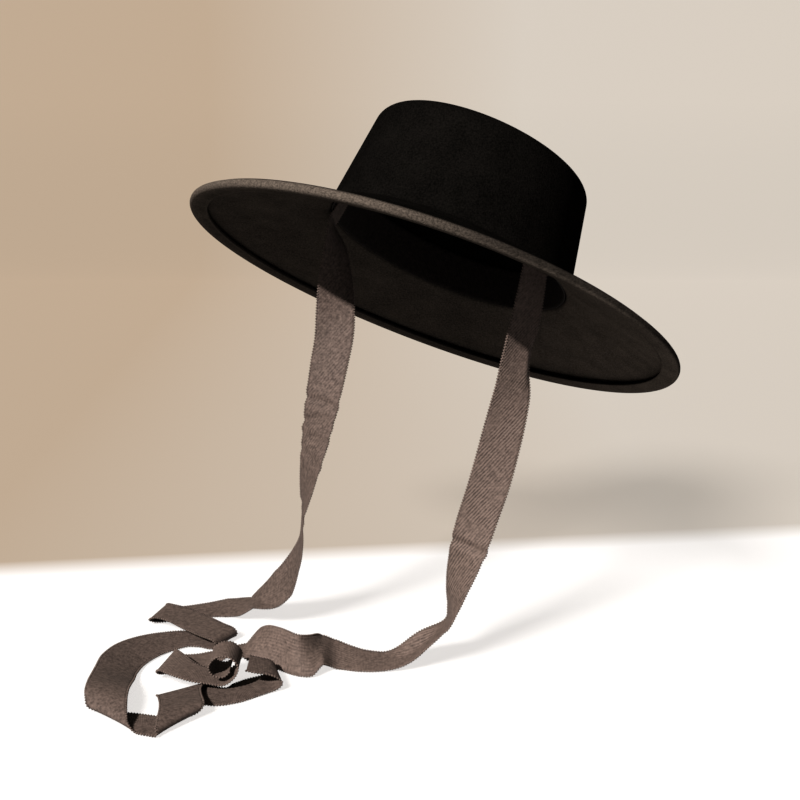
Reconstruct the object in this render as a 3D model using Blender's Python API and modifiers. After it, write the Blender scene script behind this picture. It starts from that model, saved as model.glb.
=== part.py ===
"""A felt hat with a flat crown and a wide brim, worn tipped back, and its two ribbon ties.

The crown, the brim and the hem folded under the rim are one piece of felt, 2.5 mm thick.
A ribbon sweatband lines the head opening. A tie is sewn inside it in front of each temple,
hangs to the surface below and lies there in folds.
The origin is the middle of the head opening, where the hat sits on a head. +Z is up, and
the hat's own axis leans as the hat is worn. Lengths are in metres and angles in degrees.
"""
import math
from collections import namedtuple

import bpy
from mathutils import Euler, Matrix, Vector

# Head and felt
HEAD_WIDTH = 0.164             # inside the sweatband, from temple to temple
HEAD_LENGTH = 0.197            # inside the sweatband, from front to back
FELT = 0.0025                  # thickness of the felt
CROWN_HEIGHT = 0.0763          # from the brim's root to the flat top
CROWN_TAPER = 8.6              # lean of the crown's side
TOP_EDGE_RADIUS = 0.0106       # rounding round the flat top
TOP_RISE = 0.001               # the top swells this much at its middle
ROOT_RADIUS = 0.005            # bend between crown and brim, in the middle of the felt

# Brim
BRIM_RADIUS = 0.176            # round in plan, though the head opening is oval
BRIM_DROP = 0.0254             # the rim hangs this far below the brim's root
BRIM_ARCH = 0.25               # share of the slope that is lost towards the rim
BRIM_SHIFT = (-0.0017, -0.0007)  # the rim's centre against the crown's
RIM_WAVE = 0.0013              # the rim rises and falls twice round
RIM_DEPTH = 0.0058             # brim and hem together, at the fold
HEM_WIDTH = 0.0126             # from the rim's edge to the hem's free edge
HEM_SLOPE = 11.5               # the hem rises this much towards the crown

# Sweatband and ties
GAP = 0.0003                   # between pieces that touch
SWEATBAND_WALL = 0.001
SWEATBAND_HEIGHT = 0.027
RIBBON_WIDTH = 0.026
RIBBON_WALL = 0.001
TIE_ANGLE = 20.0               # a tie is sewn this far in front of the temple
TIE_SEAT = 0.016               # height of a tie's sewn end above the opening
DROP = 0.262                   # from the head opening down to the surface below
LEAST_SLANT = 0.7              # limit of a slanted fold line, as the sine of its angle

# How the hat is worn
SIDE_LEAN = 21.2
BACK_LEAN = -20.3
FRONT_TURN = -28.5

COLUMNS = 64                   # faces round the hat
STEPS = 3                      # faces of a tie between two rows of its table

# A row places a tie's middle and turns its width. Side and depth are in hundredths of half
# the head's width and length. Height is in hundredths of DROP, and lift, the clearance under
# the lower edge, in hundredths of RIBBON_WIDTH. Heading is the width's direction seen from
# above and rise its tilt, in degrees. At a fold the heading is that of the fold line.
Hanging = namedtuple("Hanging", "side depth height heading rise")
Lying = namedtuple("Lying", "side depth lift heading rise")

LEFT_TIE = (
    Hanging(60, -67, -11, 42, -10), Hanging(54, -72, -19, 40, 0),
    Hanging(49, -81, -28, 28, 0), Hanging(40, -89, -40, 6, 0),
    Hanging(30, -93, -52, -6, 0), Hanging(20, -94, -62, -20, 0),
    Hanging(13, -94, -70, -34, 0), Hanging(5, -93, -79, -61, 0),
    Hanging(1, -92, -85, -80, 0), Hanging(-2, -92, -88.5, -90, 0),
    # down to the surface on its flat, over a low wave and up on its edge
    Lying(-6, -92, 92, -92, 4), Lying(-17, -92, 58, -92, 4), Lying(-32, -92, 23, -92, 0),
    Lying(-49, -93, 4, -90, -4), Lying(-71, -93, 0, -90, -10), Lying(-92, -89, 0, -88, -22),
    Lying(-104, -95, 27, -86, -16), Lying(-113, -105, 8, -84, -40),
    Lying(-124, -107, 0, -86, -64), Lying(-138, -97, 0, -96, -66),
    Lying(-149, -89, 0, -106, -60), Lying(-160, -80, 4, -108, -36),
    # flat to the left, folded over itself and back
    Lying(-172, -75, 8, -100, 10), Lying(-187, -82, 4, -92, 4), Lying(-202, -88, 0, -90, 0),
    Lying(-216, -92, 0, -96, 0), Lying(-226, -96, 4, -100, 0), Lying(-230, -102, 19, -100, 0),
    Lying(-226, -109, 33, -102, 0), Lying(-216, -119, 33, -102, 0),
    # the end curls up in one open roll
    Lying(-204, -126, 27, -94, 0), Lying(-190, -127, 19, -90, 0),
    Lying(-179, -127, 15, -90, 0), Lying(-170, -127, 35, -90, 0),
    Lying(-167, -127, 65, -90, 0), Lying(-174, -127, 88, -90, 0),
    Lying(-184, -126, 85, -90, 0), Lying(-190, -126, 62, -90, 0),
    Lying(-187, -125, 38, -90, 0), Lying(-179, -125, 33, -90, 0),
    Lying(-174, -125, 46, -90, 0),
)

RIGHT_TIE = (
    Hanging(-95, 2, 3, 60, -15), Hanging(-95, -3, -5, 34, -4), Hanging(-95, -8, -12, 14, 0),
    Hanging(-96, -14, -20, -6, 0), Hanging(-100, -20, -27, -14, 0),
    Hanging(-106, -27, -37, -30, 0), Hanging(-112, -32, -47, -46, 0),
    Hanging(-116, -35, -53, -57, 0), Hanging(-120, -35, -60, -70, 0),
    Hanging(-123, -34, -67, -87, 0), Hanging(-125, -29, -75, -84, -4),
    Hanging(-131, -24, -81, -77, -14), Hanging(-142, -17, -88, -61, -20),
    # lands, runs flat to the left and folds back over itself
    Lying(-157, -8, 58, -64, -4), Lying(-171, 0, 31, -84, 8), Lying(-183, 8, 12, -88, -4),
    Lying(-195, 12, 0, -86, -8), Lying(-212, 11, 0, -82, -2), Lying(-232, 6, 0, -88, 0),
    Lying(-248, 1, 2, -100, 0), Lying(-254, -2, 13, -104, 0), Lying(-248, -8, 25, -104, 0),
    Lying(-232, -18, 27, -122, 0), Lying(-215, -34, 27, -132, 0), Lying(-201, -47, 27, -124, 0),
    # folds under itself and goes left again
    Lying(-190, -55, 25, -118, 0), Lying(-187, -57, 13, -118, 0), Lying(-191, -55, 2, -118, 0),
    Lying(-205, -50, 2, -104, 0), Lying(-220, -49, 2, -88, -2),
    # comes forward along the left and rolls under itself to the right
    Lying(-235, -56, 2, -68, -6), Lying(-250, -69, 2, -48, -12), Lying(-261, -87, 2, -28, -18),
    Lying(-266, -107, 4, -14, -20), Lying(-266, -126, 12, -10, -15), Lying(-265, -143, 28, -10, -9),
    Lying(-264, -158, 40, -16, -5), Lying(-263, -171, 40, -24, -2), Lying(-261, -181, 29, -33, 0),
    Lying(-259, -186, 16, -39, 0), Lying(-254, -188, 6, -46, 0), Lying(-245, -189, 0, -60, 0),
    Lying(-236, -191, 0, -75, 0), Lying(-225, -194, 0, -92, 0), Lying(-214, -197, 1, -110, 0),
    # rolls up over itself and runs back
    Lying(-207, -197, 9, -124, 0), Lying(-204, -193, 22, -133, 0), Lying(-204, -184, 30, -146, 0),
    Lying(-206, -172, 25, -160, 0), Lying(-209, -160, 19, -162, 0), Lying(-211, -151, 16, -152, 0),
    # folds under itself to the right
    Lying(-211, -144, 11, -142, 0), Lying(-206, -142, 3, -139, 0), Lying(-194, -145, 0, -123, 0),
    Lying(-180, -149, 0, -102, 0), Lying(-168, -143, 0, -78, 0),
    # the last fold lies open, and the end lies on top
    Lying(-155, -133, 0, -60, 0), Lying(-143, -127, 4, -68, 0), Lying(-137, -124, 19, -76, 0),
    Lying(-143, -123, 35, -82, 0), Lying(-154, -123, 42, -88, 0), Lying(-161, -122, 46, -90, 0),
)

BLACK_FELT = (0.012, 0.011, 0.010)
BLACK_RIBBON = (0.030, 0.026, 0.024)


def worn():
    """The turn of the hat as it is worn, from its own frame to the part's."""
    lean = Euler((math.radians(BACK_LEAN), math.radians(SIDE_LEAN), 0), "XYZ").to_matrix()
    return lean @ Matrix.Rotation(math.radians(FRONT_TURN), 3, "Z")


def polar(radius, degrees):
    return Vector((radius * math.cos(math.radians(degrees)),
                   radius * math.sin(math.radians(degrees))))


def wall_inset(height):
    """How far the crown's side has leaned in at a height above the brim's root."""
    return height * math.tan(math.radians(CROWN_TAPER))


def felt_profile():
    """Pairs of (reach, height) down the middle of the felt, from the top to the hem.

    Reach is the distance out from the head opening's inside edge. The first list ends at
    the crown's root and the second goes on to the hem's free edge.
    """
    lining = SWEATBAND_WALL + GAP + FELT / 2
    lean = math.radians(CROWN_TAPER)
    edge = TOP_EDGE_RADIUS - FELT / 2
    top = CROWN_HEIGHT - FELT / 2
    edge_middle = Vector((lining - wall_inset(top - edge) - edge / math.cos(lean), top - edge))
    crown = [edge_middle + polar(edge, a) for a in (90, 68, 46, 26, CROWN_TAPER)]
    slope = math.atan(BRIM_DROP * (1 + BRIM_ARCH) / (BRIM_RADIUS - HEAD_WIDTH / 2))
    root_height = ROOT_RADIUS * math.cos(slope) - FELT / 2
    wall = [Vector((lining - wall_inset(h), h)) for h in (top * 0.6, top * 0.3)]
    root_middle = Vector((lining - wall_inset(root_height) + ROOT_RADIUS / math.cos(lean),
                          root_height))
    sweep = 90 - CROWN_TAPER - math.degrees(slope)
    root = [root_middle + polar(ROOT_RADIUS, 180 + CROWN_TAPER + sweep * k / 3)
            for k in range(4)]
    return crown + wall + root


def brim_profile(root):
    """Triples (share, reach, height) from the crown's root to the hem's free edge.

    Share is 0 at the root's oval and 1 at the round rim, and reach is measured from there.
    """
    fold = (RIM_DEPTH - FELT) / 2
    rim_height = -BRIM_DROP - FELT / 2
    fall = rim_height - root.y
    rows = [(k / 6, 0.0, root.y + fall * ((1 + BRIM_ARCH) * k / 6 - BRIM_ARCH * (k / 6) ** 2))
            for k in range(1, 6)]
    reach = BRIM_RADIUS - HEAD_WIDTH / 2
    slope = math.degrees(math.atan(BRIM_DROP * (1 - BRIM_ARCH) / reach))
    middle = Vector((-FELT / 2 - fold, rim_height - fold))
    turn = 180 - slope + HEM_SLOPE
    for k in range(6):
        point = middle + polar(fold, 90 - slope - turn * k / 5)
        rows.append((1.0, point.x, point.y))
    length = HEM_WIDTH + rows[-1][1]
    rise = math.tan(math.radians(HEM_SLOPE))
    for part in (0.5, 1.0):
        rows.append((1.0, rows[-1][1] - length * 0.5, rows[-1][2] + length * 0.5 * rise))
    return rows


def oval(width, length, height):
    """A ring of points in the hat's own frame."""
    ring = []
    for k in range(COLUMNS):
        angle = 2 * math.pi * k / COLUMNS
        ring.append(Vector((width * math.cos(angle), length * math.sin(angle), height)))
    return ring


def felt_rings():
    crown = felt_profile()
    half_width, half_length = HEAD_WIDTH / 2, HEAD_LENGTH / 2
    rings = []
    for share in (0.35, 0.72):
        first = crown[0]
        swell = TOP_RISE * (1 - share ** 2)
        rings.append(oval((half_width + first.x) * share, (half_length + first.x) * share,
                          first.y + swell))
    for point in crown:
        rings.append(oval(half_width + point.x, half_length + point.x, point.y))
    root = crown[-1]
    for share, reach, height in brim_profile(root):
        width = (half_width + root.x) * (1 - share) + BRIM_RADIUS * share + reach
        length = (half_length + root.x) * (1 - share) + BRIM_RADIUS * share + reach
        ring = oval(width, length, height)
        for k, point in enumerate(ring):
            angle = 2 * math.pi * k / COLUMNS
            point.x += BRIM_SHIFT[0] * share
            point.y += BRIM_SHIFT[1] * share
            point.z -= RIM_WAVE * share ** 2 * math.sin(2 * angle)
        rings.append(ring)
    return rings


def ring_faces(count, first=0):
    """Quads between rings of COLUMNS points each, facing out on a profile that runs down."""
    faces = []
    for row in range(count - 1):
        for k in range(COLUMNS):
            a = first + row * COLUMNS + k
            b = first + row * COLUMNS + (k + 1) % COLUMNS
            faces.append((a, a + COLUMNS, b + COLUMNS, b))
    return faces


def add_object(name, points, faces, wall, material):
    """An object for an open surface that Solidify thickens evenly to both sides."""
    mesh = bpy.data.meshes.new(name)
    mesh.from_pydata([tuple(p) for p in points], [], faces)
    mesh.materials.append(material)
    mesh.shade_smooth()
    mesh.set_sharp_from_angle(angle=math.radians(40))
    thing = bpy.data.objects.new(name, mesh)
    bpy.data.collections["felt_hat"].objects.link(thing)
    solid = thing.modifiers.new("wall", "SOLIDIFY")
    solid.thickness = wall
    solid.offset = 0
    solid.use_even_offset = True
    solid.use_quality_normals = True
    return thing


def make_felt(turn, material):
    """Crown, brim and folded hem, one felt body that is open below."""
    rings = felt_rings()
    peak = Vector((0, 0, rings[0][0].z + TOP_RISE * 0.35 ** 2))
    points = [turn @ peak] + [turn @ p for ring in rings for p in ring]
    faces = [(0, 1 + k, 1 + (k + 1) % COLUMNS) for k in range(COLUMNS)]
    faces += ring_faces(len(rings), first=1)
    add_object("felt_crown_and_brim", points, faces, FELT, material)


def make_sweatband(turn, material):
    """The ribbon band inside the head opening, as tall as SWEATBAND_HEIGHT."""
    points = []
    rows = 3
    for row in range(rows):
        height = SWEATBAND_HEIGHT * (1 - row / (rows - 1))
        reach = SWEATBAND_WALL / 2 - wall_inset(height)
        points += oval(HEAD_WIDTH / 2 + reach, HEAD_LENGTH / 2 + reach, height)
    add_object("sweatband", [turn @ p for p in points], ring_faces(rows), SWEATBAND_WALL,
               material)


def sewn_end(turn, side):
    """Middle and width of a tie down the sweatband. Side is 1 for the left tie."""
    stations = []
    half_turn = math.degrees(RIBBON_WIDTH / (HEAD_WIDTH + HEAD_LENGTH) * 2)
    middle = -TIE_ANGLE if side > 0 else 180 + TIE_ANGLE
    for height in (TIE_SEAT, 0, -TIE_SEAT / 3):
        reach = -wall_inset(height) - GAP - RIBBON_WALL / 2
        edges = []
        for angle in (middle - half_turn * side, middle + half_turn * side):
            edges.append(Vector((
                (HEAD_WIDTH / 2 + reach) * math.cos(math.radians(angle)),
                (HEAD_LENGTH / 2 + reach) * math.sin(math.radians(angle)), height)))
        near, far = turn @ edges[0], turn @ edges[1]
        stations.append(((near + far) / 2, (far - near).normalized()))
    return stations


def station(row):
    """Middle and width direction of a tie at a row of its table."""
    heading, rise = math.radians(row.heading), math.radians(row.rise)
    width = Vector((math.cos(rise) * math.cos(heading),
                    math.cos(rise) * math.sin(heading), math.sin(rise)))
    middle = Vector((row.side / 100 * HEAD_WIDTH / 2, row.depth / 100 * HEAD_LENGTH / 2, 0))
    if isinstance(row, Hanging):
        middle.z = row.height / 100 * DROP
    else:
        middle.z = (RIBBON_WALL / 2 + GAP - DROP + row.lift / 100 * RIBBON_WIDTH
                    + abs(width.z) * RIBBON_WIDTH / 2)
    return middle, width


def smooth(a, b, c, d, t):
    """A point between b and c on the smooth curve through a, b, c and d."""
    return 0.5 * (2 * b + (c - a) * t + (2 * a - 5 * b + 4 * c - d) * t * t
                  + (3 * b - a - 3 * c + d) * t ** 3)


def tie_edges(turn, rows, side):
    """The two edges of a tie, point by point, from its sewn end to its free end."""
    stations = sewn_end(turn, side) + [station(row) for row in rows]
    middles, widths = [], []
    last = len(stations) - 1
    for i in range(last):
        near = [stations[min(max(k, 0), last)][0] for k in range(i - 1, i + 3)]
        for k in range(STEPS):
            t = k / STEPS
            middles.append(smooth(*near, t))
            widths.append(stations[i][1].slerp(stations[i + 1][1], t))
    middles.append(stations[last][0])
    widths.append(stations[last][1])
    edges = []
    for i, (middle, width) in enumerate(zip(middles, widths)):
        along = middles[min(i + 1, len(middles) - 1)] - middles[max(i - 1, 0)]
        slant = max(width.cross(along.normalized()).length, LEAST_SLANT)
        half = width * (RIBBON_WIDTH / 2 / slant)
        edges.append((middle - half, middle + half))
    return edges


def make_tie(name, turn, rows, side, material):
    """A ribbon tie as a strip of quads between its two edges."""
    edges = tie_edges(turn, rows, side)
    points = [p for pair in edges for p in pair]
    faces = [(2 * i, 2 * i + 1, 2 * i + 3, 2 * i + 2) for i in range(len(edges) - 1)]
    add_object(name, points, faces, RIBBON_WALL, material)


def make_material(name, colour, roughness):
    material = bpy.data.materials.new(name)
    material.use_nodes = True
    shader = material.node_tree.nodes["Principled BSDF"]
    shader.inputs["Base Color"].default_value = (*colour, 1)
    shader.inputs["Roughness"].default_value = roughness
    shader.inputs["Metallic"].default_value = 0
    return material


def main():
    for thing in list(bpy.data.objects):
        bpy.data.objects.remove(thing, do_unlink=True)
    collection = bpy.data.collections.new("felt_hat")
    bpy.context.scene.collection.children.link(collection)
    turn = worn()
    make_felt(turn, make_material("felt", BLACK_FELT, 0.95))
    make_sweatband(turn, make_material("sweatband", BLACK_RIBBON, 0.8))
    make_tie("left_tie", turn, LEFT_TIE, 1, make_material("left_tie", BLACK_RIBBON, 0.7))
    make_tie("right_tie", turn, RIGHT_TIE, -1, make_material("right_tie", BLACK_RIBBON, 0.7))


main()
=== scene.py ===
# %% [markdown]
# # A felt hat with ribbon ties
#
# This lesson dresses a imported CAD model of a black wool-felt hat: a flat crown, a wide brim
# with a hem folded under its rim, a sweatband and two long ribbon ties. The CAD model gives
# the sizes and the place of each piece. Here each piece gets a smooth surface, fine detail
# and a finish.
#
# The first cell loads that model.

# %% Load the frame
import math

import bpy
from mathutils import Euler, Matrix, Vector


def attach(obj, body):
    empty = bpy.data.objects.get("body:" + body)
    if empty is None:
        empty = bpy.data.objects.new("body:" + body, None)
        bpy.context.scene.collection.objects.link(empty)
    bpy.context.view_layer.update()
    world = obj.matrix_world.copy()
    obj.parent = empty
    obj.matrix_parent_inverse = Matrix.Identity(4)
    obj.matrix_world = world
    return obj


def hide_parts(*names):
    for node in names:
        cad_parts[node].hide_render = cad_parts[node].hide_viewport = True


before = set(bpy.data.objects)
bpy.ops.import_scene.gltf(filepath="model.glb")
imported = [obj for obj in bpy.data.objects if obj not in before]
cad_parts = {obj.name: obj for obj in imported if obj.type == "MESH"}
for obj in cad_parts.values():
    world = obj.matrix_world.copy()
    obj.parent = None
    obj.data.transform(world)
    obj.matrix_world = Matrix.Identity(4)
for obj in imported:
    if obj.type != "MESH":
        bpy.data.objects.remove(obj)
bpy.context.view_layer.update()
print("nodes:", sorted(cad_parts))

# %% [markdown]
# ## The camera
#
# The camera stands in front of the hat and a little above it, tilted down by 12.5 degrees.
# A 72 mm lens keeps the ovals of the brim and the crown flat, as a portrait lens does.

# %% Camera
CAMERA_PLACE = (-0.0336, -1.0897, 0.1403)
CAMERA_TILT = 12.5
LENS = 71.55
SENSOR_WIDTH = 36

camera_data = bpy.data.cameras.new("camera")
camera_data.lens = LENS
camera_data.sensor_width = SENSOR_WIDTH
camera = bpy.data.objects.new("camera", camera_data)
camera.location = CAMERA_PLACE
camera.rotation_euler = (math.radians(90 - CAMERA_TILT), 0, 0)
bpy.context.scene.collection.objects.link(camera)
bpy.context.scene.camera = camera
print("lens:", LENS, "mm")

# %% [markdown]
# Product photos keep black things black. The Standard view shows colours without the soft
# shoulder of a film curve, and a gamma a little under one deepens the dark tones.

# %% Colours of the picture
PICTURE_GAMMA = 0.85

view = bpy.context.scene.view_settings
view.view_transform = "Standard"
view.gamma = PICTURE_GAMMA
print("view:", view.view_transform, "gamma", PICTURE_GAMMA)

# %% [markdown]
# ## Sizes
#
# The hat is worn tipped back and to one side, so its own frame is turned against the
# scene's. The sizes are those of the CAD model, in metres and degrees.

# %% Sizes
HEAD_WIDTH = 0.164
HEAD_LENGTH = 0.197
FELT = 0.0025
CROWN_HEIGHT = 0.0763
CROWN_TAPER = 8.6
TOP_EDGE_RADIUS = 0.0106
TOP_RISE = 0.001
ROOT_RADIUS = 0.005
BRIM_RADIUS = 0.176
BRIM_DROP = 0.0254
BRIM_ARCH = 0.25                    # how much steeper than its mean slope the brim starts
BRIM_SHIFT = (-0.0017, -0.0007)     # the rim's middle against the head opening's
RIM_WAVE = 0.0013
RIM_DEPTH = 0.0058
HEM_WIDTH = 0.0126
HEM_SLOPE = 11.5
GAP = 0.0003                        # clearance between pieces
SWEATBAND_WALL = 0.001
SWEATBAND_HEIGHT = 0.027
RIBBON_WIDTH = 0.026
RIBBON_WALL = 0.001                 # as in the CAD model, whose middle the strip follows
TIE_ANGLE = 20.0
TIE_SEAT = 0.016                    # height of a tie's sewn end
DROP = 0.262                        # from the head opening's middle down to the floor
LEAST_SLANT = 0.7                   # limits how long a slanting line across a tie gets
TIP_BACK = -20.3
TIP_ASIDE = 21.2
TURN = -28.5
LEAN = (Euler((math.radians(TIP_BACK), math.radians(TIP_ASIDE), 0), "XYZ").to_matrix()
        @ Matrix.Rotation(math.radians(TURN), 3, "Z"))
print("brim across:", round(BRIM_RADIUS * 2000), "mm")


# %% [markdown]
# Every piece needs two steps. One puts an object in the scene. The other takes what the
# object's modifiers make of it as a plain mesh, which the calls of the frame then work on.

# %% Helpers for objects
def link(thing):
    """Put a new object in the scene."""
    bpy.context.scene.collection.objects.link(thing)
    return thing


def bake(thing, name):
    """A plain mesh object of what the modifiers make of this one, which is removed."""
    deps = bpy.context.evaluated_depsgraph_get()
    mesh = bpy.data.meshes.new_from_object(thing.evaluated_get(deps))
    bpy.data.objects.remove(thing, do_unlink=True)
    mesh.name = name
    return link(bpy.data.objects.new(name, mesh))


# %% [markdown]
# ## A loft in Geometry Nodes
#
# Crown, brim and sweatband are all turned from one profile, but round ovals and not round
# circles, so a Screw modifier can't make them. The loft below takes a profile drawn as a
# line of points. The first number of a point is how far it reaches out from the ring, the
# second how much the ring has become round, from 0 at the head opening's oval to 1 at the
# rim, and the third its height. An attribute named spread draws the rings together towards
# the middle of the crown's top, and another says how much painted light the felt gets there.
#
# A grid gives the faces: one of its sides runs round the hat and the other down the profile.

# %% Helpers for node trees
def add_node(tree, kind, links=(), **settings):
    """A node with its settings. Links are pairs of an input and an output or a value."""
    node = tree.nodes.new(kind)
    for key, value in settings.items():
        setattr(node, key, value)
    for key, value in links:
        socket = node.inputs[key]
        if isinstance(value, bpy.types.NodeSocket):
            tree.links.new(value, socket)
        else:
            socket.default_value = value
    return node


def reckon(tree, operation, a, b=0.0):
    """The output of a Math node."""
    node = add_node(tree, "ShaderNodeMath", [(0, a), (1, b)], operation=operation)
    return node.outputs[0]


def parts_of(tree, vector):
    """The three numbers of a vector."""
    return add_node(tree, "ShaderNodeSeparateXYZ", [(0, vector)]).outputs


def pass_on(tree, geometry, steps):
    """What comes out when the geometry goes through a row of nodes."""
    for kind, links in steps:
        geometry = add_node(tree, kind, [("Geometry", geometry), *links]).outputs[0]
    return geometry


# %% Start and use a tree
def new_group(name, inputs):
    """A Geometry Nodes tree with a geometry input, named inputs and a geometry output."""
    tree = bpy.data.node_groups.new(name, "GeometryNodeTree")
    tree.interface.new_socket("Geometry", in_out="INPUT", socket_type="NodeSocketGeometry")
    for label, kind in inputs:
        tree.interface.new_socket(label, in_out="INPUT", socket_type=kind)
    tree.interface.new_socket("Geometry", in_out="OUTPUT", socket_type="NodeSocketGeometry")
    start = tree.nodes.new("NodeGroupInput")
    end = tree.nodes.new("NodeGroupOutput")
    return tree, start.outputs, end.inputs


def use_group(thing, tree, values):
    """Put the tree on an object as a modifier, and set its inputs by name."""
    modifier = thing.modifiers.new(tree.name, "NODES")
    modifier.node_group = tree
    for item in tree.interface.items_tree:
        if item.in_out == "INPUT" and item.name in values:
            modifier[item.identifier] = values[item.name]


# %% [markdown]
# A point of the grid looks up the profile's point of its own row, and swings it round the
# hat. Width and length of its ring lie between the oval's and the round rim's. The rim also
# rises and falls a little, twice in a turn.

# %% Look up and swing a point
def read_row(tree, line, row, kind, name):
    """A value of the profile's point at this row."""
    stored = add_node(tree, "GeometryNodeInputNamedAttribute", [("Name", name)],
                      data_type=kind)
    index = add_node(tree, "FunctionNodeFloatToInt", [(0, row)])
    sample = add_node(tree, "GeometryNodeSampleIndex", [
        ("Geometry", line), ("Value", stored.outputs[0]), ("Index", index.outputs[0])],
        data_type=kind, domain="POINT")
    return sample.outputs[0]


def swing(tree, given, point, spread, turn):
    """Where a point of the profile lies at this turn round the hat."""
    reach, share, height = point

    def half(size):
        """Half of a ring's width or length at this point of the profile."""
        mixed = add_node(tree, "ShaderNodeMix", [
            ("Factor", share), ("A", reckon(tree, "MULTIPLY", size, 0.5)),
            ("B", given["Rim radius"])])
        return reckon(tree, "MULTIPLY", reckon(tree, "ADD", mixed.outputs[0], reach), spread)

    across = reckon(tree, "MULTIPLY", half(given["Head width"]), reckon(tree, "COSINE", turn))
    deep = reckon(tree, "MULTIPLY", half(given["Head length"]), reckon(tree, "SINE", turn))
    wave = reckon(tree, "SINE", reckon(tree, "MULTIPLY", turn, 2.0))
    wave = reckon(tree, "MULTIPLY", wave, given["Rim wave"])
    wave = reckon(tree, "MULTIPLY", wave, reckon(tree, "MULTIPLY", share, share))
    ring = add_node(tree, "ShaderNodeCombineXYZ", [
        (0, across), (1, deep), (2, reckon(tree, "SUBTRACT", height, wave))])
    shift = add_node(tree, "ShaderNodeVectorMath", [
        (0, given["Rim shift"]), ("Scale", share)], operation="SCALE")
    spot = add_node(tree, "ShaderNodeVectorMath", [
        (0, ring.outputs[0]), (1, shift.outputs[0])], operation="ADD")
    return spot.outputs[0]


# %% The loft's tree
MERGE_REACH = 0.00002    # closes the seam and the middle of the top


def make_loft_tree():
    tree, given, result = new_group("oval_loft", [
        ("Head width", "NodeSocketFloat"), ("Head length", "NodeSocketFloat"),
        ("Rim radius", "NodeSocketFloat"), ("Rim wave", "NodeSocketFloat"),
        ("Rim shift", "NodeSocketVector"), ("Lean", "NodeSocketVector"),
        ("Columns", "NodeSocketInt"), ("Rows", "NodeSocketInt"),
        ("Finish", "NodeSocketMaterial")])
    line = add_node(tree, "GeometryNodeMeshToCurve", [("Mesh", given["Geometry"])]).outputs[0]
    grid = add_node(tree, "GeometryNodeMeshGrid", [
        ("Size X", 1.0), ("Size Y", 1.0),
        ("Vertices X", given["Columns"]), ("Vertices Y", given["Rows"])])
    place = parts_of(tree, add_node(tree, "GeometryNodeInputPosition").outputs[0])
    turn = reckon(tree, "MULTIPLY", reckon(tree, "ADD", place[0], 0.5), -math.tau)
    row = reckon(tree, "MULTIPLY", reckon(tree, "ADD", place[1], 0.5),
                 reckon(tree, "SUBTRACT", given["Rows"], 1.0))
    point = parts_of(tree, read_row(tree, line, row, "FLOAT_VECTOR", "position"))
    spread = read_row(tree, line, row, "FLOAT", "spread")
    # The painted light of the rim's fold, stored for the felt's finish.
    painted_light = add_node(tree, "GeometryNodeStoreNamedAttribute", [
        ("Geometry", grid.outputs["Mesh"]), ("Name", "painted_rim_light"),
        ("Value", read_row(tree, line, row, "FLOAT", "painted_rim_light"))],
        data_type="FLOAT", domain="POINT")
    shape = pass_on(tree, painted_light.outputs[0], [
        ("GeometryNodeSetPosition", [("Position", swing(tree, given, point, spread, turn))]),
        ("GeometryNodeMergeByDistance", [("Distance", MERGE_REACH)]),
        ("GeometryNodeTransform", [("Rotation", given["Lean"])]),
        ("GeometryNodeSetShadeSmooth", []),
        ("GeometryNodeRealizeInstances", []),
        ("GeometryNodeSetMaterial", [("Material", given["Finish"])])])
    tree.links.new(shape, result["Geometry"])
    return tree


loft_tree = make_loft_tree()
print("loft inputs:", [item.name for item in loft_tree.interface.items_tree][1:])


# %% Loft a profile
LOFT_COLUMNS = 256


def loft(name, profile, wall, finish):
    """A piece turned from rows of (reach, share, height, spread, painted light), with a wall.
    """
    mesh = bpy.data.meshes.new(name + "_profile")
    mesh.from_pydata([row[:3] for row in profile],
                     [(k, k + 1) for k in range(len(profile) - 1)], [])
    for k, label in ((3, "spread"), (4, "painted_rim_light")):
        stored = mesh.attributes.new(label, "FLOAT", "POINT")
        for value, row in zip(stored.data, profile):
            value.value = row[k]
    thing = link(bpy.data.objects.new(name + "_line", mesh))
    use_group(thing, loft_tree, {
        "Head width": HEAD_WIDTH, "Head length": HEAD_LENGTH, "Rim radius": BRIM_RADIUS,
        "Rim wave": RIM_WAVE, "Rim shift": (*BRIM_SHIFT, 0), "Lean": tuple(LEAN.to_euler()),
        "Columns": LOFT_COLUMNS + 1, "Rows": len(profile), "Finish": finish})
    solid = thing.modifiers.new("wall", "SOLIDIFY")
    solid.thickness = wall
    solid.offset = 0
    solid.use_even_offset = True
    solid.use_quality_normals = True
    piece = bake(thing, name)
    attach(piece, "root")
    print(name, len(piece.data.polygons), "faces")
    return piece


# %% [markdown]
# ## Finishes
#
# All finishes are made alike: a noise or a wave makes a number at each point, a ramp turns
# it into a colour between a dark and a light one, and a bump lets it roughen the surface.

# %% Helpers for finishes
def new_finish(name):
    """A material with its node tree and its Principled BSDF."""
    finish = bpy.data.materials.new(name)
    finish.use_nodes = True
    return finish, finish.node_tree, finish.node_tree.nodes["Principled BSDF"]


def object_place(tree):
    """Where a point lies, in metres."""
    return add_node(tree, "ShaderNodeTexCoord").outputs["Object"]


def facing(tree, way):
    """How much a face looks this way, from -1 to 1."""
    normal = add_node(tree, "ShaderNodeTexCoord").outputs["Normal"]
    node = add_node(tree, "ShaderNodeVectorMath", [(0, normal), (1, tuple(way))],
                    operation="DOT_PRODUCT")
    return node.outputs["Value"]


def speckle(tree, where, scale, detail=3.0, roughness=0.6):
    """The output of a Noise Texture."""
    node = add_node(tree, "ShaderNodeTexNoise", [
        ("Vector", where), ("Scale", scale), ("Detail", detail), ("Roughness", roughness)])
    return node.outputs["Fac"]


def grade(tree, value, start, end, low=0.0, high=1.0):
    """A number that goes from low to high while the value goes from start to end."""
    node = add_node(tree, "ShaderNodeMapRange", [
        ("Value", value), ("From Min", start), ("From Max", end),
        ("To Min", low), ("To Max", high)])
    return node.outputs[0]


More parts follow.
